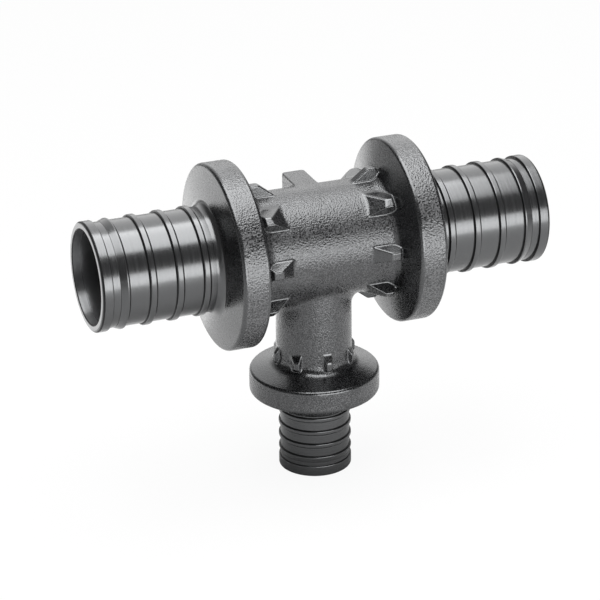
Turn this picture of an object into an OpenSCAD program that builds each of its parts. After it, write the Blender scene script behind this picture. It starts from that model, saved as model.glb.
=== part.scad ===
// Reducing pipe tee for push-on pipe held by compression sleeves, moulded in one piece.
// The run lies along X and the branch points down along -Z. The two axes cross at the origin.
// The mould opens along Y, so the flanks of the lugs release in that direction.

/* [Run] */
// Length of the run from end face to end face
run_l = 120.5; // [112:0.5:150]
// Outer diameter of the body between the two run collars
run_body_d = 29.2; // [27:0.2:34]
// Diameter of the through bore of the run
run_bore_d = 22.8; // [16:0.2:24]
// Outer diameter of the run collars
run_collar_d = 47.9; // [42:0.1:56]
// Width of the rim of a run collar
run_rim_w = 7.0; // [4:0.1:10]
// Length of a run spigot from the rim of its collar to its end face
run_spigot_l = 33.1; // [31:0.1:40]
// Diameter over the nose and the crests of a run spigot
run_crest_d = 28.0; // [27.2:0.1:30]
// Diameter of the run spigots between the ridges
run_land_d = 26.8; // [25:0.1:27.1]
// Diameter at the bottom of the groove behind the nose of a run spigot
run_groove_d = 26.7; // [25:0.1:27.1]

/* [Run ridges] */
// Distance from one ridge of a run spigot to the next
run_pitch = 7.0; // [5:0.1:9]
// Width of a ridge on a run spigot
run_ridge_w = 1.75; // [0.8:0.05:3]
// Length of the nose of a run spigot
run_nose_l = 2.95; // [2:0.05:5]
// Width of the groove behind the nose of a run spigot
run_groove_w = 1.9; // [0.5:0.05:3]
// Length of the ramp that climbs from the groove to the first ridge of the run
run_ramp_l = 1.7; // [0.5:0.05:3]
// Width of the flat crest behind that ramp on the run
run_lip_w = 0.55; // [0.3:0.05:2]

/* [Branch] */
// Distance from the run axis to the end face of the branch
branch_reach = 62.3; // [60:0.1:80]
// Outer diameter of the branch between the run and its collar
branch_body_d = 19.6; // [17:0.2:24]
// Diameter of the bore of the branch
branch_bore_d = 14.2; // [9:0.2:15]
// Outer diameter of the branch collar
branch_collar_d = 33.8; // [30:0.1:40]
// Width of the rim of the branch collar
branch_rim_w = 5.7; // [3:0.1:8]
// Length of the branch spigot from the rim of its collar to its end face
branch_spigot_l = 21.7; // [20.5:0.1:30]
// Diameter over the nose and the crests of the branch spigot
branch_crest_d = 18.9; // [18.4:0.1:20.5]
// Diameter of the branch spigot between the ridges
branch_land_d = 18.1; // [16.5:0.1:18.3]
// Diameter at the bottom of the groove behind the nose of the branch spigot
branch_groove_d = 18.3; // [16.5:0.1:18.3]

/* [Branch ridges] */
// Distance from one ridge of the branch spigot to the next
branch_pitch = 3.67; // [2.5:0.01:6]
// Width of a ridge on the branch spigot
branch_ridge_w = 1.2; // [0.5:0.05:2]
// Length of the nose of the branch spigot
branch_nose_l = 2.9; // [2:0.05:5]
// Width of the groove behind the nose of the branch spigot
branch_groove_w = 1.1; // [0.5:0.05:3]
// Length of the ramp that climbs from the groove to the first ridge of the branch
branch_ramp_l = 1.0; // [0.5:0.05:3]
// Width of the flat crest behind that ramp on the branch
branch_lip_w = 0.6; // [0.3:0.05:2]

/* [Collars] */
// Lean of the faces of all collars that look at the body, in degrees from square
inner_lean = 17; // [2:1:30]
// Lean of the faces of the run collars that look at the spigots, in degrees from square
run_outer_lean = 8; // [2:1:15]
// Lean of the face of the branch collar that looks at its spigot, in degrees from square
branch_outer_lean = 30; // [2:1:32]
// Radius of the hollow between the run body and its collars
run_inner_fillet = 3.0; // [1:0.1:4]
// Radius of the hollow between the run collars and their spigots
run_outer_fillet = 2.1; // [0.5:0.1:2.4]
// Radius of the hollow between the branch and its collar
branch_inner_fillet = 2.0; // [0.5:0.1:3]
// Radius of the hollow between the branch collar and its spigot
branch_outer_fillet = 0.5; // [0.2:0.1:0.9]
// Radius of the rounded edges of the collar rims
rim_round = 0.5; // [0.2:0.1:1.2]

/* [Ends] */
// Radius of the rounded outer edge of the run ends
run_end_round = 0.8; // [0.2:0.1:1.2]
// Radius of the rounded outer edge of the branch end
branch_end_round = 0.4; // [0.2:0.1:1]
// Chamfer at the mouths of the bores
mouth_chamfer = 0.5; // [0.2:0.1:1]
// How far the side of a ridge slopes along the spigot
ridge_slope = 0.12; // [0.05:0.01:0.25]

/* [Lugs] */
// Number of lugs round each collar
lug_n = 8; // [4, 8]
// Width of the flat top of a lug
lug_w = 2.2; // [1:0.1:4]
// Length of the flat top of a lug
lug_top_l = 2.3; // [1:0.1:4]
// Height of the run lugs over the body
run_lug_h = 3.3; // [1:0.1:4]
// Height of the branch lugs over the branch
branch_lug_h = 1.4; // [0.6:0.1:3]
// Share of the width that the tops of the narrower branch lugs have
branch_lug_share = 0.64; // [0.4:0.02:1]
// Distance from the rim of the collar to the flat top of a lug
lug_gap = 3.1; // [2:0.1:5]
// Slope of the ramp of a lug against the body, in degrees
lug_ramp = 38; // [25:1:60]
// Lean of the side of a lug that looks at its collar, in degrees
lug_back_lean = 25; // [5:1:45]
// Lean of the flanks of the lugs that face the mould opening, in degrees
face_lug_lean = 18; // [2:1:30]
// Lean of the steep flanks of the slanting lugs, in degrees
side_lug_lean = 6; // [1:1:20]
// Lean of the flanks of the lugs on the parting plane, in degrees
plate_lug_lean = 2; // [1:1:15]

/* [Body] */
// Radius of the hollow where the branch leaves the run
saddle_fillet = 3.0; // [1:0.1:5]
// Width of the block on the back shoulder of the body
block_w = 6.2; // [3:0.1:10]
// How far the top of the block lies below the crown of the body
block_drop = 0.3; // [0.2:0.1:2]
// How far the back of the block lies inside the back of the body
block_inset = 0.6; // [0.3:0.1:3]
// Chamfer of the two upright edges of the block
block_chamfer = 0.9; // [0.2:0.1:1.4]

/* [Hidden] */
$fn = 128;

// Steps round the branch and across the hollow of the saddle
SADDLE_STEPS = 40;
SADDLE_ARC_STEPS = 6;
// How far the edges of the saddle are sunk into the two tubes, so that its facets cross them
SADDLE_SINK = 0.06;
// Depth of the saddle's hidden inner edge under the two surfaces
SADDLE_ROOT = 1.2;
// How far a cutting shape reaches past what it cuts
OVERSHOOT = 1;
// How far a corner sector reaches, as a multiple of its radius
SECTOR_REACH = 2;
// Share of the body radius down to which the lugs are rooted
LUG_ROOT = 0.7;

run_end = run_l / 2;
run_rim_out = run_end - run_spigot_l;
run_rim_in = run_rim_out - run_rim_w;
branch_rim_out = branch_reach - branch_spigot_l;
branch_rim_in = branch_rim_out - branch_rim_w;
run_body_r = run_body_d / 2;
branch_body_r = branch_body_d / 2;

function unit(v) = v / norm(v);
function flat(p) = [p[0], p[1]];

// Corner i of a closed outline of [x, y, radius] points, given as
// [first tangent point, second tangent point, centre, radius, 1 if it bulges out or -1 if it is hollow].
function corner(outline, i) =
    let (
        n = len(outline),
        p = flat(outline[i]),
        back = unit(flat(outline[(i + n - 1) % n]) - p),
        ahead = unit(flat(outline[(i + 1) % n]) - p),
        half = acos(back * ahead) / 2,
        radius = outline[i][2],
        reach = radius / tan(half)
    )
    [
        p + back * reach,
        p + ahead * reach,
        p + unit(back + ahead) * radius / sin(half),
        radius,
        cross(back, ahead) < 0 ? 1 : -1
    ];

// Sector of the circle that rounds one corner
module sector(rounding) {
    centre = rounding[2];
    intersection() {
        translate(centre)
            circle(rounding[3]);
        polygon([
            centre,
            centre + (rounding[0] - centre) * SECTOR_REACH,
            centre + (rounding[1] - centre) * SECTOR_REACH
        ]);
    }
}

// Closed outline, listed anticlockwise, with its corners rounded by true arcs
module rounded_outline(outline) {
    count = len(outline);
    corners = [for (i = [0 : count - 1]) corner(outline, i)];
    straight = [
        for (i = [0 : count - 1])
            each outline[i][2] > 0 ? [corners[i][0], corners[i][1]] : [flat(outline[i])]
    ];
    difference() {
        union() {
            polygon(straight);
            for (c = corners) {
                if (c[3] > 0 && c[4] > 0)
                    sector(c);
            }
        }
        for (c = corners) {
            if (c[3] > 0 && c[4] < 0)
                sector(c);
        }
    }
}

// Where the leaning face of a collar would meet the tube of radius r without a hollow
function collar_root(rim_z, rim_r, r, lean) = rim_z + (rim_r - r) * tan(lean);

// Length that a hollow of a given radius takes up along the tube
function hollow_l(radius, lean) = radius * tan((90 - lean) / 2);

// Half outline of one end as [radius, height, corner radius], from the body out to the end face
function end_outline(
    body_d, collar_d, rim_in, rim_out, end_z, crest_d, land_d, groove_d, pitch, ridge_w,
    nose_l, groove_w, ramp_l, lip_w, outer_lean, inner_fillet, outer_fillet, end_round
) =
    let (
        body_r = body_d / 2,
        collar_r = collar_d / 2,
        crest_r = crest_d / 2,
        land_r = land_d / 2,
        groove_r = groove_d / 2,
        inner_root = -collar_root(-rim_in, collar_r, body_r, inner_lean),
        outer_root = collar_root(rim_out, collar_r, land_r, outer_lean),
        land_start = outer_root + hollow_l(outer_fillet, outer_lean),
        nose_z = end_z - nose_l,
        groove_z = nose_z - groove_w,
        lip_z = groove_z - ramp_l,
        first_ridge = lip_z - lip_w,
        ridges = floor((first_ridge - land_start) / pitch)
    )
    concat(
        [
            [body_r, inner_root, inner_fillet],
            [collar_r, rim_in, rim_round],
            [collar_r, rim_out, rim_round],
            [land_r, outer_root, outer_fillet]
        ],
        [
            for (k = [ridges : -1 : 1])
                each [
                    [land_r, first_ridge - k * pitch, 0],
                    [crest_r, first_ridge - k * pitch + ridge_slope, 0],
                    [crest_r, first_ridge - k * pitch + ridge_w - ridge_slope, 0],
                    [land_r, first_ridge - k * pitch + ridge_w, 0]
                ]
        ],
        [
            [land_r, first_ridge, 0],
            [crest_r, first_ridge + ridge_slope, 0],
            [crest_r, lip_z, 0],
            [groove_r, groove_z, 0],
            [groove_r, nose_z, 0],
            [crest_r, nose_z + ridge_slope, 0],
            [crest_r, end_z, end_round],
            [0, end_z, 0]
        ]
    );

run_outline = end_outline(
    run_body_d, run_collar_d, run_rim_in, run_rim_out, run_end, run_crest_d, run_land_d,
    run_groove_d, run_pitch, run_ridge_w, run_nose_l, run_groove_w, run_ramp_l, run_lip_w,
    run_outer_lean, run_inner_fillet, run_outer_fillet, run_end_round
);
branch_outline = end_outline(
    branch_body_d, branch_collar_d, branch_rim_in, branch_rim_out, branch_reach, branch_crest_d,
    branch_land_d, branch_groove_d, branch_pitch, branch_ridge_w, branch_nose_l, branch_groove_w,
    branch_ramp_l, branch_lip_w, branch_outer_lean, branch_inner_fillet, branch_outer_fillet,
    branch_end_round
);

// Moves what stands along +Z onto an arm of the tee
module on_right() {
    rotate([0, 90, 0])
        children();
}
module on_left() {
    rotate([0, -90, 0])
        children();
}
module on_branch() {
    rotate([0, 180, 0])
        children();
}

// Outside of the run, turned as one piece with both collars and spigots
module run_outside() {
    far = [for (p = run_outline) p];
    near = [for (i = [len(far) - 1 : -1 : 0]) [far[i][0], -far[i][1], far[i][2]]];
    on_right()
        rotate_extrude()
            rounded_outline(concat(near, far));
}

// Outside of the branch, rooted inside the run
module branch_outside() {
    on_branch()
        rotate_extrude()
            rounded_outline(concat([[0, 0, 0], [branch_body_r, 0, 0]], branch_outline));
}

// Lean of a lug's two flanks for a lug at angle a from the mould opening. A slanting lug has its
// outer flank along the opening direction, where a square flank would lock in the mould.
function on_face(a) = abs(sin(a)) < 0.5;
function on_parting(a) = abs(cos(a)) < 0.5;
function slant(a) = asin(abs(sin(a)));
function flank_lean(a, side) =
    on_face(a) ? face_lug_lean :
    on_parting(a) ? plate_lug_lean :
    side * sin(2 * a) > 0 ? slant(a) : side_lug_lean;

// One lug on a tube along Z, at angle a from -Y, with its ramp climbing towards the collar
module lug(a, body_r, rim_in, top_w, height) {
    top_r = body_r + height;
    root_r = body_r * LUG_ROOT;
    depth = top_r - root_r;
    top_end = rim_in - lug_gap;
    top_start = top_end - lug_top_l;
    low_side = -top_w / 2 - depth * tan(flank_lean(a, -1));
    high_side = top_w / 2 + depth * tan(flank_lean(a, 1));
    rotate([0, 0, a])
        intersection() {
            linear_extrude(rim_in)
                polygon([
                    [low_side, -root_r],
                    [-top_w / 2, -top_r],
                    [top_w / 2, -top_r],
                    [high_side, -root_r]
                ]);
            rotate([90, 0, -90])
                linear_extrude(top_r * 2, center = true)
                    polygon([
                        [root_r, top_start - depth / tan(lug_ramp)],
                        [top_r, top_start],
                        [top_r, top_end],
                        [root_r, top_end + depth * tan(lug_back_lean)]
                    ]);
        }
}

module lug_ring(body_r, rim_in, top_w, height) {
    for (k = [0 : lug_n - 1])
        lug(k * 360 / lug_n, body_r, rim_in, top_w, height);
}

// Rolling-ball hollow between the run and the branch. q is the angle round the branch and s goes
// from 0 on the run to 1 on the branch.
function ball_centre(q) =
    let (reach = branch_body_r + saddle_fillet, side = reach * sin(q))
    [reach * cos(q), side, -sqrt(pow(run_body_r + saddle_fillet, 2) - side * side)];
function run_touch(q, sink) =
    let (c = ball_centre(q), share = (run_body_r - sink) / (run_body_r + saddle_fillet))
    [c[0], c[1] * share, c[2] * share];
function branch_touch(q, sink) =
    let (c = ball_centre(q), share = (branch_body_r - sink) / (branch_body_r + saddle_fillet))
    [c[0] * share, c[1] * share, c[2]];
function ball_point(q, s) =
    let (
        c = ball_centre(q),
        from = unit(run_touch(q, 0) - c),
        to = unit(branch_touch(q, 0) - c),
        turn = acos(from * to)
    )
    c + saddle_fillet * (sin((1 - s) * turn) * from + sin(s * turn) * to) / sin(turn);
function saddle_root(q) =
    let (r = branch_body_r - SADDLE_ROOT, side = r * sin(q))
    [r * cos(q), side, -sqrt(pow(run_body_r - SADDLE_ROOT, 2) - side * side)];
function saddle_section(q) = concat(
    [saddle_root(q), run_touch(q, SADDLE_SINK)],
    [for (j = [1 : SADDLE_ARC_STEPS - 1]) ball_point(q, j / SADDLE_ARC_STEPS)],
    [branch_touch(q, SADDLE_SINK)]
);

module saddle() {
    sections = [for (i = [0 : SADDLE_STEPS - 1]) saddle_section(i * 360 / SADDLE_STEPS)];
    size = len(sections[0]);
    points = [for (section = sections) each section];
    faces = [
        for (i = [0 : SADDLE_STEPS - 1], j = [0 : size - 1])
            let (
                a = i * size + j,
                b = i * size + (j + 1) % size,
                c = ((i + 1) % SADDLE_STEPS) * size + (j + 1) % size,
                d = ((i + 1) % SADDLE_STEPS) * size + j
            )
            each [[a, b, c], [a, c, d]]
    ];
    polyhedron(points, faces);
}

// Block on the back shoulder. Its top lies level just under the crown of the body.
module shoulder_block() {
    half = block_w / 2;
    back = run_body_r - block_inset;
    linear_extrude(run_body_r - block_drop)
        polygon([
            [-half, 0],
            [half, 0],
            [half, back - block_chamfer],
            [half - block_chamfer, back],
            [-half + block_chamfer, back],
            [-half, back - block_chamfer]
        ]);
}

// Bore along Z up to the end face, with a chamfered mouth
module bore(bore_d, start, end_z) {
    bore_r = bore_d / 2;
    translate([0, 0, start])
        cylinder(r = bore_r, h = end_z - start + OVERSHOOT);
    translate([0, 0, end_z - mouth_chamfer])
        cylinder(r1 = bore_r, r2 = bore_r + mouth_chamfer + OVERSHOOT, h = mouth_chamfer + OVERSHOOT);
}

module tee_body() {
    color([0.2, 0.2, 0.21])
        difference() {
            union() {
                run_outside();
                branch_outside();
                saddle();
                shoulder_block();
                on_right()
                    lug_ring(run_body_r, run_rim_in, lug_w, run_lug_h);
                on_left()
                    lug_ring(run_body_r, run_rim_in, lug_w, run_lug_h);
                on_branch()
                    lug_ring(branch_body_r, branch_rim_in, lug_w * branch_lug_share, branch_lug_h);
            }
            on_right()
                bore(run_bore_d, -run_end, run_end);
            on_left()
                bore(run_bore_d, 0, run_end);
            on_branch()
                bore(branch_bore_d, 0, branch_reach);
        }
}

tee_body();
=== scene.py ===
"""A reducing pipe tee of dark moulded plastic, standing on its branch on a pale studio floor."""

import logging
import math
from dataclasses import dataclass
from enum import Enum
from typing import Any, Sequence

import bmesh
import bpy
import numpy as np
from mathutils import Matrix, Vector


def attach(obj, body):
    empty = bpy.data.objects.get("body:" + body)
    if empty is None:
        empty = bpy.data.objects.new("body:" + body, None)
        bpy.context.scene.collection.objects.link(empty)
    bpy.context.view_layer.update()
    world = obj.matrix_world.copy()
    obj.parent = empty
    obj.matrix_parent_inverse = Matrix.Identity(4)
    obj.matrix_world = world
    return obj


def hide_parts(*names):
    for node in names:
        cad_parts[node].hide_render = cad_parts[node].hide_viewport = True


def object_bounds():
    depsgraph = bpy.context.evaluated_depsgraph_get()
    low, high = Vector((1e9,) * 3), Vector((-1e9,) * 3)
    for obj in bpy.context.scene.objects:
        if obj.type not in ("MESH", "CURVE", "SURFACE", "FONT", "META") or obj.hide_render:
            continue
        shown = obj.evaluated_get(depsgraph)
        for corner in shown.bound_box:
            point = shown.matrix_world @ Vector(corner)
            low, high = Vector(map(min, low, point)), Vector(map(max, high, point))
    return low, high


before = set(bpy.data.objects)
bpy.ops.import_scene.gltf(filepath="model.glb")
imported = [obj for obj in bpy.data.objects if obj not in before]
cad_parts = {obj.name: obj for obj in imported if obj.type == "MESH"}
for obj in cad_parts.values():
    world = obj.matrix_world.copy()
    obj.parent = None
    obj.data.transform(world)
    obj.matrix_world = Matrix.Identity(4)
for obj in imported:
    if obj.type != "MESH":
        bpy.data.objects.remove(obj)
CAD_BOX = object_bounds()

log = logging.getLogger("pipe_tee")

Array = np.ndarray
Tree = bpy.types.NodeTree
Socket = bpy.types.NodeSocket
Links = dict[str | int, Any]

MM = 0.001
BODY = "root"
NODE = "tee_body"
IMAGE_SIDE_PX = 600
SENSOR_MM = 36.0

# Refractive index of polyphenylsulfone, about 1.67, matched to the gloss in the photograph.
POLYSULFONE_IOR = 1.65
# The plastic reflects white a trace bluer than it is.
GLOSS_TINT = "#fbfdff"
# Specks count this many times as much as clouds in the mottling of a spark-eroded skin.
SPECK_WEIGHT = 3.0
# Range of specks and clouds together that goes from the dark to the light colour.
MOTTLE_LOW, MOTTLE_HIGH = 1.55, 2.45
# Share of the lighter tone at which a skin is smoothest and at which it is roughest.
SMOOTHEST, ROUGHEST = 0.3, 0.7

# An arc of a turned outline gets a point every so many degrees, a large rounding more of them.
LARGE_ROUNDING_MM = 0.4
LARGE_ARC_STEP_DEG = 13
SMALL_ARC_STEP_DEG = 20
# Rounding of the sharp corners of a turned outline.
CRISP_MM = 0.1
# Share of a unit step across the axis from which a piece of outline is a ridge's flank.
FLANK_SHARE = 0.9
# Steps of the nose's front rounding, after the first, that get the painted shade line.
NOSE_PAINTED_DARK_STEPS = 4

# The middle ends this far before the turned skins begin, and a band closes the gap.
SEAM_BAND_MM = 0.2
# Rounds in which points move onto the surface, and in which the ball's path is followed.
SETTLE_ROUNDS = 2
PATH_ROUNDS = 4
CUT_TOLERANCE_MM = 1e-5
FAR_MM = 99.0

# Watts of an area lamp for each square metre and each unit of its radiance.
WATTS_PER_RADIANCE = 4
PLAIN_WHITE: Links = {"Color": (1, 1, 1, 1), "Strength": 1.0}


def linear(code: str) -> tuple[float, float, float, float]:
    """Turns an sRGB hex code into a linear colour.

    Args:
        code: Six hex digits, with or without a leading #.

    Returns:
        Linear red, green, blue and an alpha of 1.
    """
    digits = code.lstrip("#")
    values = [int(digits[i:i + 2], 16) / 255 for i in (0, 2, 4)]
    red, green, blue = (v / 12.92 if v <= 0.04045 else ((v + 0.055) / 1.055) ** 2.4 for v in values)
    return red, green, blue, 1.0


def add_node(tree: Tree, kind: str, settings: Links | None = None,
             links: Links | None = None) -> bpy.types.Node:
    """Adds one node, with its settings and the links into it.

    Args:
        tree: Node tree that gets the node.
        kind: Blender's name for the kind of node.
        settings: Attribute or input socket to value. An input is named by its label or index.
        links: Input socket to the output socket that feeds it.

    Returns:
        The new node.
    """
    node = tree.nodes.new(kind)
    for key, value in (settings or {}).items():
        if isinstance(key, str) and hasattr(node, key):
            setattr(node, key, value)
        else:
            node.inputs[key].default_value = value
    for key, source in (links or {}).items():
        tree.links.new(source, node.inputs[key])
    return node


def empty_tree(owner: bpy.types.Material | bpy.types.World) -> Tree:
    """Makes a material or a world use nodes and clears them.

    Args:
        owner: The material or world.

    Returns:
        Its empty node tree.
    """
    owner.use_nodes = True
    owner.node_tree.nodes.clear()
    return owner.node_tree


def add_object(name: str, data: bpy.types.ID) -> bpy.types.Object:
    """Adds an object to the scene.

    Args:
        name: Name of the object.
        data: Its mesh, lamp or camera.

    Returns:
        The new object.
    """
    thing = bpy.data.objects.new(name, data)
    bpy.context.scene.collection.objects.link(thing)
    return thing


class Surface(Enum):
    """Finishes of the one moulding, in the order of the mesh's material slots."""

    GRAINED = 0
    RIM = 1
    FINE = 2
    TURNED = 3
    CORED = 4
    # Painted shade: a near-black skin that draws dark lines at the ridges, nose and mouth.
    CORNER = 5


@dataclass(frozen=True)
class MouldedPolysulfone:
    """Polyphenylsulfone, a dark engineering plastic, moulded in a steel tool.

    Where the tool was spark eroded the skin is covered in fine round pits and looks matte. Where
    it was turned and polished the skin is smooth, with faint rings, and gives soft streaks of
    light. A finish has either pits, with specks and clouds of a lighter tone, or rings.
    """

    name: str
    colour: str
    light_colour: str
    roughness: float
    roughness_spread: float
    specular: float
    pit_mm: float = 0.0
    pit_depth_mm: float = 0.0
    speck_mm: float = 0.0
    cloud_mm: float = 0.0
    ring_mm: float = 0.0
    ring_depth_mm: float = 0.0

    def material(self) -> bpy.types.Material:
        """Builds the node material of this finish.

        Returns:
            The new material.
        """
        material = bpy.data.materials.new(self.name)
        tree = empty_tree(material)
        place = add_node(tree, "ShaderNodeTexCoord").outputs["Object"]
        if self.ring_mm:
            height = patch = self.rings(tree, place)
            depth = self.ring_depth_mm
        else:
            height, patch = self.grain(tree, place)
            depth = self.pit_depth_mm
        tint = add_node(tree, "ShaderNodeMix", {"data_type": "RGBA", 6: linear(self.colour),
                                                7: linear(self.light_colour)},
                        {0: patch}).outputs[2]
        rough = add_node(tree, "ShaderNodeMapRange",
                         {"From Min": SMOOTHEST, "From Max": ROUGHEST,
                          "To Min": self.roughness - self.roughness_spread,
                          "To Max": self.roughness + self.roughness_spread},
                         {"Value": patch}).outputs["Result"]
        bump = add_node(tree, "ShaderNodeBump", {"Strength": 1.0, "Distance": depth * MM},
                        {"Height": height}).outputs["Normal"]
        shader = add_node(tree, "ShaderNodeBsdfPrincipled",
                          {"IOR": POLYSULFONE_IOR, "Specular IOR Level": self.specular,
                           "Specular Tint": linear(GLOSS_TINT)},
                          {"Base Color": tint, "Roughness": rough, "Normal": bump})
        add_node(tree, "ShaderNodeOutputMaterial", links={"Surface": shader.outputs["BSDF"]})
        return material

    def grain(self, tree: Tree, place: Socket) -> tuple[Socket, Socket]:
        """Adds the round pits and the mottling of a spark-eroded skin.

        Real craters are about 0.1 mm wide. They are drawn four times coarser, because a picture
        of the whole tee shows nothing finer.

        Args:
            tree: Node tree of the finish.
            place: Object coordinates.

        Returns:
            The height of the pits and the share of the lighter tone.
        """
        pits = add_node(tree, "ShaderNodeTexVoronoi",
                        {"feature": "F1", "Scale": 1 / (self.pit_mm * MM), "Randomness": 1.0},
                        {"Vector": place}).outputs["Distance"]
        cloud, specks = (add_node(tree, "ShaderNodeTexNoise",
                                  {"Scale": 1 / (size * MM), "Detail": detail,
                                   "Roughness": rough}, {"Vector": place}).outputs["Fac"]
                         for size, detail, rough in ((self.cloud_mm, 3.0, 0.6),
                                                     (self.speck_mm, 1.0, 0.5)))
        shade = add_node(tree, "ShaderNodeMath", {"operation": "MULTIPLY_ADD", 1: SPECK_WEIGHT},
                         {0: specks, 2: cloud}).outputs[0]
        patch = add_node(tree, "ShaderNodeMapRange",
                         {"From Min": MOTTLE_LOW, "From Max": MOTTLE_HIGH},
                         {"Value": shade}).outputs["Result"]
        return pits, patch

    def rings(self, tree: Tree, place: Socket) -> Socket:
        """Adds the faint rings that the lathe left in the tool of a spigot.

        Args:
            tree: Node tree of the finish.
            place: Object coordinates.

        Returns:
            The height of the rings along the spigot.
        """
        axes = add_node(tree, "ShaderNodeSeparateXYZ", links={0: place})
        # A spigot is further out along its own axis than across it, so the larger one is its own.
        x, z = (add_node(tree, "ShaderNodeMath", {"operation": "ABSOLUTE"},
                         {0: axes.outputs[name]}).outputs[0] for name in ("X", "Z"))
        along = add_node(tree, "ShaderNodeMath", {"operation": "MAXIMUM"}, {0: x, 1: z}).outputs[0]
        return add_node(tree, "ShaderNodeTexNoise",
                        {"noise_dimensions": "1D", "Scale": 1 / (self.ring_mm * MM),
                         "Detail": 3.0, "Roughness": 0.6},
                        {"W": along}).outputs["Fac"]


FINISHES: dict[Surface, MouldedPolysulfone] = {
    # Spark-eroded skin of the body: matte, with fine speckles.
    Surface.GRAINED: MouldedPolysulfone(
        name="polysulfone_spark_eroded", colour="#030304", light_colour="#424243",
        roughness=0.26, roughness_spread=0.07, specular=0.53, pit_mm=0.43, pit_depth_mm=0.078,
        speck_mm=0.36, cloud_mm=9.0),
    # Rims of the run collars: the same skin with coarser pits, so the speckles stand out.
    Surface.RIM: MouldedPolysulfone(
        name="polysulfone_coarse_eroded", colour="#030304", light_colour="#4c4c4d",
        roughness=0.29, roughness_spread=0.07, specular=0.6, pit_mm=0.5, pit_depth_mm=0.085,
        speck_mm=0.45, cloud_mm=6.0),
    # Faces of the collars and lugs: lightly eroded, darker where nothing bright is reflected.
    Surface.FINE: MouldedPolysulfone(
        name="polysulfone_fine_eroded", colour="#020203", light_colour="#1a1a1b",
        roughness=0.25, roughness_spread=0.04, specular=0.68, pit_mm=0.44, pit_depth_mm=0.022,
        speck_mm=0.4, cloud_mm=7.0),
    # Polished skin of the spigots and of the lugs' edges: satin, with faint rings, so that it
    # gives soft streaks of light and the lugs get bright outlines.
    Surface.TURNED: MouldedPolysulfone(
        name="polysulfone_polished", colour="#181818", light_colour="#202021",
        roughness=0.22, roughness_spread=0.03, specular=0.75, ring_mm=0.7, ring_depth_mm=0.006),
    # Bores: left by the cores and a little duller than the outside. Their paler colour is painted
    # light, standing in for light scattered into them from the open ends.
    Surface.CORED: MouldedPolysulfone(
        name="polysulfone_bore_painted_light", colour="#343435", light_colour="#3e3e3f",
        roughness=0.3, roughness_spread=0.03, specular=0.75, ring_mm=1.2, ring_depth_mm=0.004),
    # Feet and flanks of the ridges and the edges of nose and mouth: painted shade, near black and
    # barely glossy, so they draw thin dark lines.
    Surface.CORNER: MouldedPolysulfone(
        name="polysulfone_painted_shade_line", colour="#020202", light_colour="#060606",
        roughness=0.5, roughness_spread=0.05, specular=0.2, pit_mm=0.44, pit_depth_mm=0.01,
        speck_mm=0.4, cloud_mm=6.0)}


@dataclass(frozen=True)
class Arm:
    """Sizes of one kind of arm of the tee, in millimetres, along its axis from the crossing."""

    body_r: float
    bore_r: float
    collar_r: float
    rim_in: float
    rim_out: float
    end: float
    crest_r: float
    land_r: float
    groove_r: float
    outer_lean: float
    inner_fillet: float
    outer_fillet: float
    end_round: float
    pitch: float
    ridge_w: float
    nose_l: float
    groove_w: float
    ramp_l: float
    lip_w: float
    lug_top_r: float
    lug_w: float
    seam: float
    steps_round: int
    mouth_step: float
    mouth_l: float
    rim_finish: Surface
    inner_lean: float = 17.0
    mouth_round: float = 9.0
    rim_round: float = 1.0
    crest_round: float = 0.32
    foot_round: float = 0.28
    ridge_slope: float = 0.12
    ridges: int = 3
    lug_gap: float = 3.1
    lug_top_l: float = 2.3

    @property
    def cut(self) -> float:
        """Distance along the arm at which the middle is cut."""
        return self.seam - SEAM_BAND_MM

    def inner_face_r(self, along: float) -> float:
        """Radius of the collar's inner face at a distance along the arm."""
        return self.collar_r - (self.rim_in - along) / math.tan(math.radians(self.inner_lean))

    def outline(self) -> list[tuple[float, float, float]]:
        """Lists the corners of the turned skin, from its seam round the end into the bore.

        Returns:
            The corners as (radius, along, rounding).
        """
        slant = math.tan(math.radians(self.outer_lean))
        root = self.rim_out + (self.collar_r - self.land_r) * slant
        groove = self.end - self.nose_l - self.groove_w
        lip = groove - self.ramp_l
        first = lip - self.lip_w
        foot, soft = self.foot_round, self.crest_round
        corners = [(self.inner_face_r(self.seam), self.seam, 0.0),
                   (self.collar_r, self.rim_in, self.rim_round),
                   (self.collar_r, self.rim_out, self.rim_round),
                   (self.land_r, root, self.outer_fillet)]
        for k in range(self.ridges, 0, -1):
            start = first - k * self.pitch
            corners += [(self.land_r, start, foot),
                        (self.crest_r, start + self.ridge_slope, soft),
                        (self.crest_r, start + self.ridge_w - self.ridge_slope, soft),
                        (self.land_r, start + self.ridge_w, foot)]
        corners += [(self.land_r, first, foot),
                    (self.crest_r, first + self.ridge_slope, soft),
                    (self.crest_r, lip, soft),
                    (self.groove_r, groove, soft),
                    (self.groove_r, self.end - self.nose_l, CRISP_MM),
                    (self.crest_r, self.end - self.nose_l + self.ridge_slope, soft),
                    (self.crest_r, self.end, self.end_round),
                    (self.bore_r + self.mouth_step, self.end, 3 * CRISP_MM),
                    (self.bore_r, self.end - self.mouth_l, self.mouth_round),
                    (self.bore_r, self.seam, 0.0)]
        return corners


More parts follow.
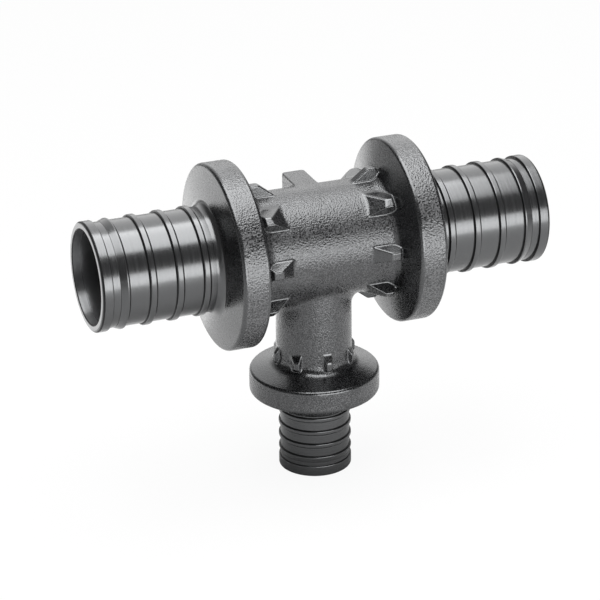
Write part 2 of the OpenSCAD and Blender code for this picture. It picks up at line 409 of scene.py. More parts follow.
RUN = Arm(body_r=14.6, bore_r=11.4, collar_r=23.95, rim_in=20.15, rim_out=27.15, end=60.25,
          crest_r=14.0, land_r=13.4, groove_r=13.35, outer_lean=8, inner_fillet=3.0,
          outer_fillet=2.1, end_round=0.75, pitch=7.0, ridge_w=1.75, nose_l=2.95, groove_w=1.9,
          ramp_l=1.7, lip_w=0.55, lug_top_r=17.9, lug_w=2.2, seam=18.7, steps_round=144,
          mouth_step=0.72, mouth_l=3.1, rim_finish=Surface.RIM)
BRANCH = Arm(body_r=9.8, bore_r=7.1, collar_r=16.9, rim_in=34.9, rim_out=40.6, end=62.3,
             crest_r=9.45, land_r=9.05, groove_r=9.15, outer_lean=30, inner_fillet=3.0,
             outer_fillet=0.5, end_round=0.4, pitch=3.67, ridge_w=1.2, nose_l=2.9, groove_w=1.1,
             ramp_l=1.0, lip_w=0.6, lug_top_r=11.2, lug_w=1.41, seam=33.6, steps_round=112,
             mouth_step=0.45, mouth_l=1.6, rim_finish=Surface.GRAINED, foot_round=0.2,
             mouth_round=4.0)


@dataclass
class Skin:
    """A patch of surface: points and normals in millimetres, faces and open loops."""

    points: Array
    normals: Array
    faces: list[tuple[int, ...]]
    kinds: list[Surface]
    loops: list[list[int]]

    def add(self, patch: "Skin") -> list[list[int]]:
        """Adds another patch, which keeps its own open loops.

        Args:
            patch: The patch.

        Returns:
            Its open loops, by the numbers that its points get here.
        """
        start = len(self.points)
        self.points = np.concatenate([self.points, patch.points])
        self.normals = np.concatenate([self.normals, patch.normals])
        self.faces += [tuple(i + start for i in face) for face in patch.faces]
        self.kinds += patch.kinds
        return [[i + start for i in loop] for loop in patch.loops]

    def unrolled(self, loop: list[int], axes: Array) -> tuple[list[int], Array]:
        """Orders a loop by its angle round an arm's axis.

        Args:
            loop: Point numbers in the order of the loop.
            axes: The arm's axes.

        Returns:
            The loop and its rising angles, with its first point once more at the end.
        """
        local = self.points[loop] @ axes
        angle = np.unwrap(np.arctan2(local[:, 1], local[:, 0]))
        order = np.arange(len(loop))
        if angle[-1] < angle[0]:
            order = order[::-1]
        first = int(np.argmin(np.mod(angle[order], 2 * math.pi)))
        order = np.roll(order, -first)
        angle = np.unwrap(np.mod(angle[order], 2 * math.pi))
        return ([loop[i] for i in order] + [loop[order[0]]],
                np.append(angle, angle[0] + 2 * math.pi))

    def close(self, ring: list[int], axes: Array, kind: Surface) -> None:
        """Closes the gap between a ring of an added patch and the nearest open loop.

        Args:
            ring: Point numbers of the ring.
            axes: The arm's axes.
            kind: Finish of the band.
        """
        def stance(numbers: list[int]) -> Array:
            """Finds the mean place and mean radius of a loop."""
            local = self.points[numbers] @ axes
            return np.append(local.mean(axis=0), np.hypot(local[:, 0], local[:, 1]).mean())

        goal = stance(ring)
        loop = min(self.loops, key=lambda numbers: float(np.linalg.norm(stance(numbers) - goal)))
        near, near_angle = self.unrolled(loop, axes)
        far, far_angle = self.unrolled(ring, axes)
        i = j = 0
        while i < len(near) - 1 or j < len(far) - 1:
            step_near = j == len(far) - 1 or (i < len(near) - 1
                                              and near_angle[i + 1] < far_angle[j + 1])
            face = (near[i], near[i + 1], far[j]) if step_near else (near[i], far[j], far[j + 1])
            i, j = (i + 1, j) if step_near else (i, j + 1)
            a, b, c = self.points[list(face)]
            if np.cross(b - a, c - a) @ self.normals[face[0]] < 0:
                face = face[::-1]
            self.faces.append(face)
            self.kinds.append(kind)


@dataclass(frozen=True)
class TurnedSkin:
    """Collar, spigot and bore of one arm, turned round the arm's axis.

    The columns of axes are the arm's two cross axes and its own axis.
    """

    arm: Arm
    axes: Array

    def profile(self) -> tuple[Array, Array, list[Surface]]:
        """Samples the rounded outline.

        Returns:
            Points and normals as (radius, along) rows, and the finish after each point.
        """
        corners = self.arm.outline()
        points: list[Array] = []
        normals: list[Array] = []
        kinds: list[Surface] = []
        plan = [Surface.FINE, self.arm.rim_finish, Surface.FINE]
        # Numbers of the corners at which the finish changes.
        rim_ends, spigot, last = (1, 2), 3, len(corners) - 1
        nose_back, nose_front, mouth = last - 4, last - 3, last - 2
        for i, (radius, along, rounding) in enumerate(corners):
            here = np.array([radius, along])
            kind = (plan[i] if i < spigot else
                    Surface.TURNED if i < mouth else Surface.CORED)
            if i in (0, last):
                other = np.array(corners[1 if i == 0 else i - 1][:2])
                way = (other - here) if i == 0 else (here - other)
                way /= np.linalg.norm(way)
                points.append(here)
                normals.append(np.array([way[1], -way[0]]))
                kinds.append(kind)
                continue
            before, after = (np.array(corners[i + step][:2]) for step in (-1, 1))
            way_in = (here - before) / np.linalg.norm(here - before)
            way_out = (after - here) / np.linalg.norm(after - here)
            normal_in = np.array([way_in[1], -way_in[0]])
            normal_out = np.array([way_out[1], -way_out[0]])
            turn = math.acos(max(-1.0, min(1.0, float(way_in @ way_out))))
            bulges = way_in[0] * way_out[1] - way_in[1] * way_out[0] > 0
            side = 1.0 if bulges else -1.0
            reach = rounding * math.tan(turn / 2)
            centre = here - way_in * reach - normal_in * rounding * side
            steps = max(2, round(math.degrees(turn) / (
                LARGE_ARC_STEP_DEG if rounding > LARGE_ROUNDING_MM else SMALL_ARC_STEP_DEG)))
            ribbed = spigot < i <= nose_back
            foot = ribbed and not bulges
            flank = ribbed and abs(way_out[0]) > FLANK_SHARE
            rises = ribbed and bulges and abs(way_in[0]) > FLANK_SHARE
            for step in range(steps + 1):
                share = step / steps
                normal = (normal_in * math.sin((1 - share) * turn) +
                          normal_out * math.sin(share * turn)) / math.sin(turn)
                points.append(centre + normal * rounding * side)
                normals.append(normal)
                arc = step < steps
                # Painted shade: the near-black skin goes on the ridges' feet and flanks, the first
                # half of each rising crest rounding, the nose's front rounding and the mouth's
                # rounding.
                painted_dark = (foot and arc or flank and not arc or rises and 2 * step + 1 < steps
                        or i == nose_front and 0 < step < NOSE_PAINTED_DARK_STEPS
                        or i == mouth and arc)
                kinds.append(Surface.FINE if arc and i in rim_ends else
                             Surface.CORNER if painted_dark else kind)
        return np.array(points), np.array(normals), kinds

    def build(self) -> Skin:
        """Turns the outline round the axis.

        Returns:
            The skin. Its open loops are the ring on the collar's face and the one in the bore.
        """
        points, normals, kinds = self.profile()
        count = self.arm.steps_round
        angle = np.arange(count) * 2 * math.pi / count
        ring = np.stack([np.cos(angle), np.sin(angle)], axis=1)

        def turned(rows: Array) -> Array:
            """Turns rows round the arm's axis.

            Args:
                rows: Places or directions as (radius, along).

            Returns:
                Each row at every angle, in the frame of the tee.
            """
            across = rows[:, None, :1] * ring[None]
            along = np.broadcast_to(rows[:, None, 1:], across.shape[:2] + (1,))
            return np.concatenate([across, along], axis=2).reshape(-1, 3) @ self.axes.T

        faces: list[tuple[int, ...]] = []
        face_kinds: list[Surface] = []
        for i in range(len(points) - 1):
            for j in range(count):
                k = (j + 1) % count
                faces.append((i * count + j, i * count + k, (i + 1) * count + k,
                              (i + 1) * count + j))
                face_kinds.append(kinds[i])
        total = count * len(points)
        loops = [list(range(count)), list(range(total - count, total))]
        return Skin(turned(points), turned(normals), faces, face_kinds, loops)


def round_union(a: Array, b: Array, radius: float) -> Array:
    """Joins two distance fields with a hollow of the given radius between them."""
    hollow = np.hypot(np.maximum(radius - a, 0), np.maximum(radius - b, 0))
    return np.maximum(radius, np.minimum(a, b)) - hollow


def round_cut(sides: Sequence[Array], radius: float) -> Array:
    """Keeps what is inside all distance fields, with edges of the given radius."""
    square = sum(np.maximum(side + radius, 0) ** 2 for side in sides)
    return np.minimum(-radius, np.maximum.reduce(sides)) + np.sqrt(square)


@dataclass(frozen=True)
class Body:
    """Distance field of the moulded middle of the tee: body, branch, lugs and shoulder block.

    Sizes are in millimetres and leans in degrees.
    """

    run: Arm = RUN
    branch: Arm = BRANCH
    saddle: float = 3.0
    saddle_top_z: float = -3.0
    saddle_margin: float = 1.0
    lug_edge: float = 0.3
    lug_foot: float = 0.4
    branch_foot_share: float = 0.75
    lug_ramp: float = 38.0
    lug_back: float = 25.0
    ramp_turn: float = 12.0
    face_lean: float = 18.0
    side_lean: float = 6.0
    plate_lean: float = 2.0
    lug_reach: float = 6.0
    block_half: float = 3.1
    block_top: float = 14.3
    block_back: float = 14.0
    block_corner: float = 0.9
    block_edge: float = 0.3
    block_foot: float = 0.2
    bore_meeting: float = 0.4
    # Where one finish ends and the next begins.
    run_collar_x: float = 12.0
    branch_collar_z: float = -28.0
    run_fine_rise: float = 0.9
    branch_fine_rise: float = 0.2
    bore_skin: float = 0.15
    lug_skin: float = 0.05
    edge_cut: float = 0.012
    foot_low: float = 0.03
    foot_high: float = 0.3
    ramp_foot_half: float = 0.08
    ramp_share: float = 0.08

    def tube(self, arm: Arm, along: Array, across: Array) -> Array:
        """Measures how far points are from one tube, with the hollow and face of its collar.

        Args:
            arm: Arm that the tube belongs to.
            along: Distance along the arm's axis.
            across: Distance from that axis.

        Returns:
            The signed distance.
        """
        lean = math.radians(arm.inner_lean)
        fillet = arm.inner_fillet
        centre_r = arm.body_r + fillet
        centre_a = (arm.rim_in - (arm.collar_r - centre_r) * math.tan(lean)
                    - fillet / math.cos(lean))
        u, v = along - centre_a, across - centre_r
        face = (arm.rim_in - along) * math.cos(lean) + (across - arm.collar_r) * math.sin(lean)
        flat = np.where(u < 0, across - arm.body_r, face)
        in_hollow = (u >= 0) & (-u * math.sin(lean) - v * math.cos(lean) >= 0)
        return np.where(in_hollow, fillet - np.hypot(u, v), flat)

    def saddle_joint(self, place: Array, a: Array, b: Array) -> Array:
        """Joins run and branch with the hollow that a rolling ball leaves between them.

        Args:
            place: Points, one a row.
            a: Their distance to the run.
            b: Their distance to the branch.

        Returns:
            Their distance to both tubes, joined.
        """
        ball = self.saddle
        joint = np.minimum(a, b)
        reach = ball + self.saddle_margin
        near = (a < reach) & (b < reach) & (place[:, 2] < self.saddle_top_z)
        p = place[near]
        run_r, branch_r = self.run.body_r + ball, self.branch.body_r + ball
        q = np.arctan2(p[:, 1], p[:, 0])
        # The ball's path is followed to the angle q that lies nearest each point.
        for step in range(PATH_ROUNDS + 1):
            sin, cos = np.sin(q), np.cos(q)
            depth = np.sqrt(run_r ** 2 - (branch_r * sin) ** 2)
            spine = np.stack([branch_r * cos, branch_r * sin, -depth], axis=1)
            if step == PATH_ROUNDS:
                break
            slope = np.stack([-branch_r * sin, branch_r * cos,
                              branch_r ** 2 * sin * cos / depth], axis=1)
            q = q - np.sum((spine - p) * slope, axis=1) / np.sum(slope ** 2, axis=1)
        to_run = spine * np.array([0, -1, -1]) / run_r
        to_branch = spine * np.array([-1, -1, 0]) / branch_r
        away = p - spine
        both = np.sum(to_run * to_branch, axis=1)
        on_run = np.sum(away * to_run, axis=1)
        on_branch = np.sum(away * to_branch, axis=1)
        between = (on_run > both * on_branch) & (on_branch > both * on_run)
        hollow = ball - np.linalg.norm(away, axis=1)
        joint[near] = np.where(between, np.minimum(joint[near], hollow), joint[near])
        return joint

    def lugs(self, arm: Arm, along: Array, front: Array, side: Array,
             edge: float | None = None) -> Array:
        """Measures how far points are from the ring of lugs beside one collar.

        Args:
            arm: Arm that carries the collar.
            along: Distance along the arm's axis.
            front: Distance from the parting plane of the mould.
            side: Distance from the plane through the axis along the mould's opening.
            edge: Rounding of the lugs' edges, lug_edge if none is given.

        Returns:
            The signed distance to the nearest lug.
        """
        edge = self.lug_edge if edge is None else edge
        top_end = arm.rim_in - arm.lug_gap
        top_start = top_end - arm.lug_top_l
        nearest = np.full(along.shape, FAR_MM)
        ramp, back = math.radians(self.lug_ramp), math.radians(self.lug_back)
        for angle, inner, outer in ((0, self.face_lean, self.face_lean),
                                    (45, self.side_lean, 45),
                                    (90, self.plate_lean, self.plate_lean)):
            sin, cos = math.sin(math.radians(angle)), math.cos(math.radians(angle))
            high = cos * front + sin * side - arm.lug_top_r
            level = cos * side - sin * front
            if angle == 0:
                level = np.abs(level)
            # The ramp of a lug between the parting planes faces a little more up or down.
            turn = math.radians(self.ramp_turn if angle == 45 else 0.0)
            raised = high * math.cos(turn) + (level + arm.lug_w / 2) * math.sin(turn)
            sides = [high, raised * math.cos(ramp) - (along - top_start) * math.sin(ramp),
                     high * math.sin(back) + (along - top_end) * math.cos(back)]
            for sign, lean in ((-1, inner), (1, outer)):
                lean = math.radians(lean)
                sides.append((sign * level - arm.lug_w / 2) * math.cos(lean)
                             + high * math.sin(lean))
            nearest = np.minimum(nearest, round_cut(sides, edge))
        return nearest

    def block(self, place: Array) -> Array:
        """Measures how far points are from the block on the back shoulder.

        Args:
            place: Points, one a row.

        Returns:
            The signed distance.
        """
        x, y, z = place.T
        plan = round_cut([np.abs(x) - self.block_half, y - self.block_back], self.block_corner)
        return round_cut([plan, z - self.block_top, -y, -z], self.block_edge)

    def distance(self, place: Array) -> Array:
        """Measures how far points are from the skin of the middle.

        Args:
            place: Points, one a row.

        Returns:
            The signed distance, negative inside the plastic.
        """
        x, y, z = place.T
        run_across, branch_across = np.hypot(y, z), np.hypot(x, y)
        a = self.tube(self.run, np.abs(x), run_across)
        b = np.maximum(self.tube(self.branch, -z, branch_across), z)
        field = self.saddle_joint(place, a, b)
        near = field < self.lug_reach
        p = place[near]
        extra = round_union(self.lugs(self.run, *np.abs(p.T)), self.block(p), self.block_foot)
        part = round_union(field[near], extra, self.lug_foot)
        extra = self.lugs(self.branch, -p[:, 2], np.abs(p[:, 1]), np.abs(p[:, 0]))
        field[near] = round_union(part, extra, self.lug_foot * self.branch_foot_share)
        bores = round_union(run_across - self.run.bore_r,
                            np.maximum(branch_across - self.branch.bore_r, z),
                            self.bore_meeting)
        return np.maximum(field, -bores)

    def finish(self, place: Array, way: Array) -> Array:
        """Tells the finish of each point of the skin.

        Args:
            place: Points on the skin, one a row.
            way: Outward direction at each of them.

        Returns:
            Numbers of Surface.
        """
        x, y, z = place.T
        flat_x, flat_y, flat_z = np.abs(place.T)
        run_across, branch_across = np.hypot(y, z), np.hypot(x, y)
        lug, sharp = (np.minimum(self.lugs(self.run, flat_x, flat_y, flat_z, edge),
                                 self.lugs(self.branch, -z, flat_y, flat_x, edge))
                      for edge in (self.lug_edge, 0.0))
        tube = np.minimum(self.tube(self.run, flat_x, run_across),
                          np.where(z < 0, self.tube(self.branch, -z, branch_across), FAR_MM))
        on_branch = z < self.branch_collar_z
        collar = ((on_branch & (branch_across > self.branch.body_r + self.branch_fine_rise))
                  | ((flat_x > self.run_collar_x)
                     & (run_across > self.run.body_r + self.run_fine_rise)))
        bored = ((run_across < self.run.bore_r + self.bore_skin)
                 | ((branch_across < self.branch.bore_r + self.bore_skin) & (z < 0)))
        on_lug = lug < self.lug_skin
        kinds = np.where(on_lug | collar, Surface.FINE.value, Surface.GRAINED.value)
        kinds[on_lug & (lug - sharp > self.edge_cut)] = Surface.TURNED.value
        # The foot of a ramp is flat, so its outline is kept as narrow as the others.
        ramped = np.where(on_branch, way[:, 2], -np.sign(x) * way[:, 0]) > self.ramp_share
        half = np.where(ramped, self.ramp_foot_half, self.foot_high)
        foot = (np.minimum(lug, tube) > self.foot_low) & (np.maximum(lug, tube) < self.foot_high)
        kinds[foot & (np.abs(lug - tube) < half)] = Surface.TURNED.value
        # Bores get the paler skin, whose colour is painted light.
        kinds[bored] = Surface.CORED.value
        return kinds

    def normals(self, place: Array, step: float = 0.02) -> tuple[Array, Array]:
        """Samples the field at four places round each point.

        Args:
            place: Points, one a row.
            step: How far off the samples lie along each axis.

        Returns:
            Distance and outward direction at each point.
        """
        corners = np.array([[1, -1, -1], [-1, -1, 1], [-1, 1, -1], [1, 1, 1]], float)
        samples = [self.distance(place + corner * step) for corner in corners]
        slope = sum(sample[:, None] * corner for sample, corner in zip(samples, corners))
        length = np.linalg.norm(slope, axis=1, keepdims=True)
        return sum(samples) / 4, slope / np.maximum(length, 1e-9)


@dataclass(frozen=True)
class MouldedMiddle:
    """Mesh of the middle of the tee, cut square where the turned skins begin.

    The distance field is sampled in cells with a side in millimetres, and the mesh is thinned to
    about so many triangles.
    """

    body: Body = Body()
    cell: float = 0.32
    triangles: int = 106_000

    def sample(self) -> tuple[Array, Array]:
        """Samples the distance field on a grid.

        Returns:
            The field and the grid's lowest corner.
        """
        reach = self.body.run.cut + 2 * self.cell
        low = np.array([-reach, -reach, -self.body.branch.cut - 2 * self.cell])
        counts = np.ceil((np.array([reach, reach, reach]) - low) / self.cell).astype(int) + 1
        axes = [low[i] + np.arange(counts[i]) * self.cell for i in range(3)]
        field = np.empty(counts)
        y, z = np.meshgrid(axes[1], axes[2], indexing="ij")
        for i, x in enumerate(axes[0]):
            place = np.stack([np.full(y.size, x), y.ravel(), z.ravel()], axis=1)
            field[i] = self.body.distance(place).reshape(y.shape)
        return field, low

    def net(self) -> tuple[Array, Array]:
        """Lays a net of four-sided faces over the surface.

        Returns:
            Points and faces.
        """
        field, low = self.sample()
        inside = field < 0
        corners = [(i, j, k) for i in (0, 1) for j in (0, 1) for k in (0, 1)]
        nx, ny, nz = (n - 1 for n in field.shape)
        filled = sum(inside[i:i + nx, j:j + ny, k:k + nz].astype(int) for i, j, k in corners)
        cells = np.argwhere((filled > 0) & (filled < 8))
        number = np.full((nx, ny, nz), -1)
        number[tuple(cells.T)] = np.arange(len(cells))
        total = np.zeros((len(cells), 3))
        hits = np.zeros(len(cells))
        for corner in corners:
            for axis in range(3):
                if corner[axis]:
                    continue
                first = cells + np.array(corner)
                second = first.copy()
                second[:, axis] += 1
                a, b = field[tuple(first.T)], field[tuple(second.T)]
                crossed = (a < 0) != (b < 0)
                share = np.where(crossed, a / np.where(crossed, a - b, 1.0), 0.0)
                place = first.astype(float)
                place[:, axis] += share
                total += place * crossed[:, None]
                hits += crossed
        points = low + total / hits[:, None] * self.cell
        faces = []
        for axis in range(3):
            u, v = (axis + 1) % 3, (axis + 2) % 3
            size = [nx, ny, nz]
            span = [slice(1, n) for n in size]
            span[axis] = slice(0, size[axis])
            ahead = list(span)
            ahead[axis] = slice(1, size[axis] + 1)
            a, b = inside[tuple(span)], inside[tuple(ahead)]
            place = np.argwhere(a != b)
            offset = np.ones(3, int)
            offset[axis] = 0
            place += offset
            leaves = inside[tuple(place.T)]
            ring = []
            for du, dv in ((-1, -1), (0, -1), (0, 0), (-1, 0)):
                cell = place.copy()
                cell[:, u] += du
                cell[:, v] += dv
                ring.append(number[tuple(cell.T)])
            quad = np.stack(ring, axis=1)
            quad[~leaves] = quad[~leaves][:, ::-1]
            faces.append(quad)
        return points, np.concatenate(faces)

    def settle(self, points: Array) -> Array:
        """Moves points onto the exact surface.

        Args:
            points: Points within a cell of the surface, one a row.

        Returns:
            The points on the surface.
        """
        for _ in range(SETTLE_ROUNDS):
            gap, normal = self.body.normals(points)
            points = points - normal * np.clip(gap, -self.cell, self.cell)[:, None]
        return points

    def build(self) -> Skin:
        """Makes the mesh, thins it where it is plain and cuts it at the seams.

        Returns:
            The skin, with an open loop for each outside and each bore.
        """
        points, faces = self.net()
        points = self.settle(points)
        mesh = bpy.data.meshes.new("middle")
        mesh.from_pydata(points.tolist(), [], faces.tolist())
        thing = add_object("middle", mesh)
        thin = thing.modifiers.new("thin", "DECIMATE")
        thin.ratio = self.triangles / (2 * len(faces))
        graph = bpy.context.evaluated_depsgraph_get()
        form = bmesh.new()
        form.from_object(thing, graph)
        bpy.data.objects.remove(thing)
        bpy.data.meshes.remove(mesh)
        run_cut, branch_cut = self.body.run.cut, self.body.branch.cut
        for place, way in (((run_cut, 0, 0), (1, 0, 0)), ((-run_cut, 0, 0), (-1, 0, 0)),
                           ((0, 0, -branch_cut), (0, 0, -1))):
            bmesh.ops.bisect_plane(form, geom=form.verts[:] + form.edges[:] + form.faces[:],
                                   dist=CUT_TOLERANCE_MM, plane_co=place, plane_no=way,
                                   clear_outer=True)
        bmesh.ops.triangulate(form, faces=form.faces[:])
        form.verts.index_update()
        points = np.array([v.co for v in form.verts])
        faces = [tuple(v.index for v in f.verts) for f in form.faces]
        loops = self.open_loops(form)
        form.free()
        held = np.zeros(len(points), bool)
        held[[i for loop in loops for i in loop]] = True
        settled = self.settle(points)
        points[~held] = settled[~held]
        _, normals = self.body.normals(points)
        middles = np.array([points[list(face)].mean(axis=0) for face in faces])
        ways = np.array([normals[list(face)].mean(axis=0) for face in faces])
        kinds = [Surface(kind) for kind in self.body.finish(middles, ways)]
        return Skin(points, normals, faces, kinds, loops)

    @staticmethod
    def open_loops(form: bmesh.types.BMesh) -> list[list[int]]:
        """Finds the open edges and strings them into loops.

        Args:
            form: Mesh that is cut open at the seams.

        Returns:
            The point numbers of each loop.
        """
        ahead: dict[int, int] = {}
        for edge in form.edges:
            if edge.is_boundary:
                loop = edge.link_loops[0]
                ahead[loop.vert.index] = loop.link_loop_next.vert.index
        loops = []
        while ahead:
            start, here = ahead.popitem()
            chain = [start]
            while here != start:
                chain.append(here)
                here = ahead.pop(here)
            loops.append(chain)
        return loops


@dataclass(frozen=True)
class Tee:
    """The whole moulding: the middle, the three turned arms and the bands that close the seams.

    Each arm comes with the columns of its axes: its two cross axes and its own axis.
    """

    middle: MouldedMiddle = MouldedMiddle()
    arms: tuple[tuple[Arm, tuple[tuple[int, ...], ...]], ...] = (
        (RUN, ((0, 0, 1), (0, 1, 0), (-1, 0, 0))),
        (RUN, ((0, 0, -1), (0, 1, 0), (1, 0, 0))),
        (BRANCH, ((-1, 0, 0), (0, 1, 0), (0, 0, -1))))

    def build(self) -> bpy.types.Object:
        """Makes the mesh object, with its normals and the finish of each face.

        Returns:
            The moulding, still without materials.
        """
        skin = self.middle.build()
        log.info("middle: %d faces, %d open loops", len(skin.faces), len(skin.loops))
        for arm, rows in self.arms:
            axes = np.array(rows, float)
            face_ring, bore_ring = skin.add(TurnedSkin(arm, axes).build())
            skin.close(face_ring, axes, Surface.FINE)
            skin.close(bore_ring, axes, Surface.CORED)
        mesh = bpy.data.meshes.new("tee_moulding")
        mesh.from_pydata((skin.points * MM).tolist(), [], skin.faces)
        mesh.polygons.foreach_set("material_index", [kind.value for kind in skin.kinds])
        mesh.shade_smooth()
        mesh.normals_split_custom_set_from_vertices(skin.normals.tolist())
        return add_object("tee_moulding", mesh)

    def dress(self, thing: bpy.types.Object) -> None:
        """Gives the moulding its finishes and ties it to the frame.

        Args:
            thing: The moulding.
        """
        for surface in Surface:
            thing.data.materials.append(FINISHES[surface].material())
        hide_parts(NODE)
        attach(thing, BODY)


@dataclass
class Camera:
    """Camera fitted to the outline of the tee in the photograph."""

    azimuth_deg: float = 20.84
    elevation_deg: float = 23.596
    roll_deg: float = -0.766
    distance_mm: float = 734.266
    focal_px: float = 2865.403
    target_x_mm: float = -3.676
    target_z_mm: float = -15.653
    clip: tuple[float, float] = (0.05, 50.0)

    def build(self) -> None:
        """Makes the camera and gives it to the scene."""
        azimuth, elevation, roll = (math.radians(a) for a in
                                    (self.azimuth_deg, self.elevation_deg, self.roll_deg))
        back = Vector((-math.sin(azimuth) * math.cos(elevation),
                       -math.cos(azimuth) * math.cos(elevation), math.sin(elevation)))
        level = Vector((math.cos(azimuth), -math.sin(azimuth), 0.0))
        upright = back.cross(level)
        right = level * math.cos(roll) + upright * math.sin(roll)
        up = upright * math.cos(roll) - level * math.sin(roll)
        target = Vector((self.target_x_mm, 0.0, self.target_z_mm))
        data = bpy.data.cameras.new("camera")
        data.sensor_width = SENSOR_MM
        data.lens = self.focal_px / IMAGE_SIDE_PX * SENSOR_MM
        data.clip_start, data.clip_end = self.clip
        camera = add_object("camera", data)
        place = (target + back * self.distance_mm) * MM
        axes = Matrix((right, up, back)).transposed().to_4x4()
        camera.matrix_world = Matrix.Translation(place) @ axes
        bpy.context.scene.camera = camera


@dataclass(frozen=True)
class Softbox:
    """A flat soft light near the tee, unseen by the camera."""

    name: str
    centre: tuple[float, float, float]
    aim: tuple[float, float, float]
    width: float
    height: float
    radiance: float

    def build(self) -> None:
        """Hangs the softbox and turns it to the point that it is aimed at."""
        data = bpy.data.lights.new(self.name, "AREA")
        data.shape = "RECTANGLE"
        data.size = self.width
        data.size_y = self.height
        data.energy = self.radiance * WATTS_PER_RADIANCE * self.width * self.height
        lamp = add_object(self.name, data)
        lamp.location = self.centre
        way = Vector(self.aim) - Vector(self.centre)
        lamp.rotation_euler = way.to_track_quat("-Z", "Y").to_euler()
        lamp.visible_camera = False


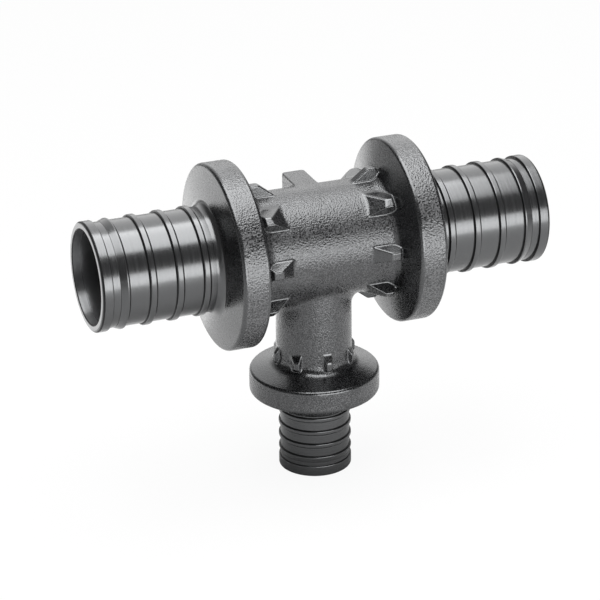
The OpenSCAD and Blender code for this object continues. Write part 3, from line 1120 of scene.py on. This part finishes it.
@dataclass
class Studio:
    """White table in a dim room with a pale wall behind, under three softboxes.

    Levels are radiances. The limits of the wall and of the wing are coordinates of the unit
    vector towards them, from where they begin to where they are full.
    """

    floor_z: float
    floor_colour: str = "#cecece"
    # Painted shadow: floor colour at the foot, and the distances over which it fades out.
    foot_shadow_colour: str = "#b4b4b4"
    foot_shade_mm: tuple[float, float] = (8.0, 42.0)
    floor_half: float = 3.0
    floor_white: float = 0.93
    mirrored_white: float = 0.05
    dim: float = 0.12
    wall_levels: tuple[float, float] = (2.0, 2.3)
    wall_rise: float = 0.45
    wall_limits: tuple[tuple[str, float, float], ...] = (
        ("Y", 0.0, 0.45), ("X", -0.6, 0.3), ("X", 0.8, 0.5))
    left_wing: float = 0.15
    left_limits: tuple[float, float] = (-0.6, -0.95)
    horizon: tuple[float, float] = (0.04, 0.1)
    softboxes: tuple[Softbox, ...] = (
        Softbox("overhead", (-0.022, -0.027, 0.6), (-0.022, -0.027, 0.0), 0.665, 0.618, 4.8),
        Softbox("low_front", (0.06, -0.26, 0.01), (0.06, 0.0, 0.01), 0.27, 0.122, 4.6),
        Softbox("under_table", (-0.16, 0.25, -0.06), (-0.16, 0.25, 1.0), 0.4, 0.34, 0.7))

    def build(self) -> None:
        """Makes the table and the light."""
        self._floor()
        self._sky()
        for softbox in self.softboxes:
            softbox.build()

    @staticmethod
    def _seen(tree: Tree, share: Socket | float) -> Socket:
        """Adds the factor that is 1 where the white ground itself is seen.

        Args:
            tree: Node tree of the floor or the world.
            share: How much of the white shows in gloss and through glass.

        Returns:
            Output for camera, glossy and transmission rays.
        """
        rays = add_node(tree, "ShaderNodeLightPath")
        bent = add_node(tree, "ShaderNodeMath", {"operation": "MAXIMUM"},
                        {0: rays.outputs["Is Glossy Ray"],
                         1: rays.outputs["Is Transmission Ray"]}).outputs[0]
        fixed, fed = ({1: share}, {}) if isinstance(share, float) else ({}, {1: share})
        part = add_node(tree, "ShaderNodeMath", {"operation": "MULTIPLY", **fixed},
                        {0: bent, **fed}).outputs[0]
        return add_node(tree, "ShaderNodeMath", {"operation": "MAXIMUM"},
                        {0: rays.outputs["Is Camera Ray"], 1: part}).outputs[0]

    def _floor(self) -> None:
        """Makes the table top, white where it is seen, with the object's shadow on it."""
        half = self.floor_half
        mesh = bpy.data.meshes.new("floor")
        corners = [(x * half, y * half, 0) for x, y in ((-1, -1), (1, -1), (1, 1), (-1, 1))]
        mesh.from_pydata(corners, [], [(0, 1, 2, 3)])
        floor = add_object("floor", mesh)
        floor.location.z = self.floor_z
        material = bpy.data.materials.new("floor_paper")
        tree = empty_tree(material)
        # Painted shadow: the paper's colour is darker round the foot, standing in for the shade
        # where the tee keeps the light from it.
        place = add_node(tree, "ShaderNodeTexCoord").outputs["Object"]
        reach = add_node(tree, "ShaderNodeVectorMath", {"operation": "LENGTH"},
                         {0: place}).outputs["Value"]
        near, far = self.foot_shade_mm
        clear = add_node(tree, "ShaderNodeMapRange",
                         {"interpolation_type": "SMOOTHSTEP", "From Min": near * MM,
                          "From Max": far * MM}, {"Value": reach}).outputs["Result"]
        colour = add_node(tree, "ShaderNodeMix",
                          {"data_type": "RGBA", 6: linear(self.foot_shadow_colour),
                           7: linear(self.floor_colour)}, {0: clear}).outputs[2]
        paper = add_node(tree, "ShaderNodeBsdfDiffuse", links={"Color": colour})
        white = add_node(tree, "ShaderNodeEmission", PLAIN_WHITE)
        share = add_node(tree, "ShaderNodeMath", {"operation": "MULTIPLY", 1: self.floor_white},
                         {0: self._seen(tree, self.mirrored_white)}).outputs[0]
        both = add_node(tree, "ShaderNodeMixShader",
                        links={0: share, 1: paper.outputs[0], 2: white.outputs[0]})
        add_node(tree, "ShaderNodeOutputMaterial", links={"Surface": both.outputs[0]})
        floor.data.materials.append(material)

    def _sky(self) -> None:
        """Lights the tee by the wall, a faint wing on the left and the dim room.

        The white ground shows in gloss only near the horizon, because the photograph keeps dark
        bands where a white room would be mirrored.
        """
        world = bpy.data.worlds.new("studio")
        bpy.context.scene.world = world
        tree = empty_tree(world)
        direction = add_node(tree, "ShaderNodeTexCoord").outputs["Generated"]
        axes = add_node(tree, "ShaderNodeSeparateXYZ", links={0: direction}).outputs
        low, high = self.wall_levels
        level = add_node(tree, "ShaderNodeMapRange",
                         {"From Min": 0.0, "From Max": self.wall_rise, "To Min": low,
                          "To Max": high}, {"Value": axes["Z"]}).outputs["Result"]
        for axis, begins, full in self.wall_limits:
            share = add_node(tree, "ShaderNodeMapRange",
                             {"interpolation_type": "SMOOTHSTEP", "From Min": begins,
                              "From Max": full}, {"Value": axes[axis]}).outputs["Result"]
            level = add_node(tree, "ShaderNodeMath", {"operation": "MULTIPLY"},
                             {0: level, 1: share}).outputs[0]
        begins, full = self.left_limits
        wing = add_node(tree, "ShaderNodeMapRange",
                        {"interpolation_type": "SMOOTHSTEP", "From Min": begins,
                         "From Max": full, "To Min": self.dim, "To Max": self.left_wing},
                        {"Value": axes["X"]}).outputs["Result"]
        level = add_node(tree, "ShaderNodeMath", {"operation": "MAXIMUM"},
                         {0: level, 1: wing}).outputs[0]
        light = add_node(tree, "ShaderNodeBackground", links={"Strength": level})
        white = add_node(tree, "ShaderNodeBackground", PLAIN_WHITE)
        full, gone = self.horizon
        share = add_node(tree, "ShaderNodeMapRange",
                         {"From Min": full, "From Max": gone, "To Min": 1.0, "To Max": 0.0},
                         {"Value": axes["Z"]}).outputs["Result"]
        both = add_node(tree, "ShaderNodeMixShader",
                        links={0: self._seen(tree, share), 1: light.outputs[0],
                               2: white.outputs[0]})
        add_node(tree, "ShaderNodeOutputWorld", links={"Surface": both.outputs[0]})


def main() -> None:
    """Builds the tee and the studio, and reports each piece."""
    logging.basicConfig(level=logging.INFO, format="%(name)s: %(message)s")
    bpy.context.scene.view_settings.view_transform = "Standard"
    Camera().build()
    tee = Tee()
    moulding = tee.build()
    tee.dress(moulding)
    log.info("%s: %d triangles", moulding.name,
             sum(len(face.vertices) - 2 for face in moulding.data.polygons))
    Studio(floor_z=CAD_BOX[0][2]).build()


if __name__ == "__main__":
    main()
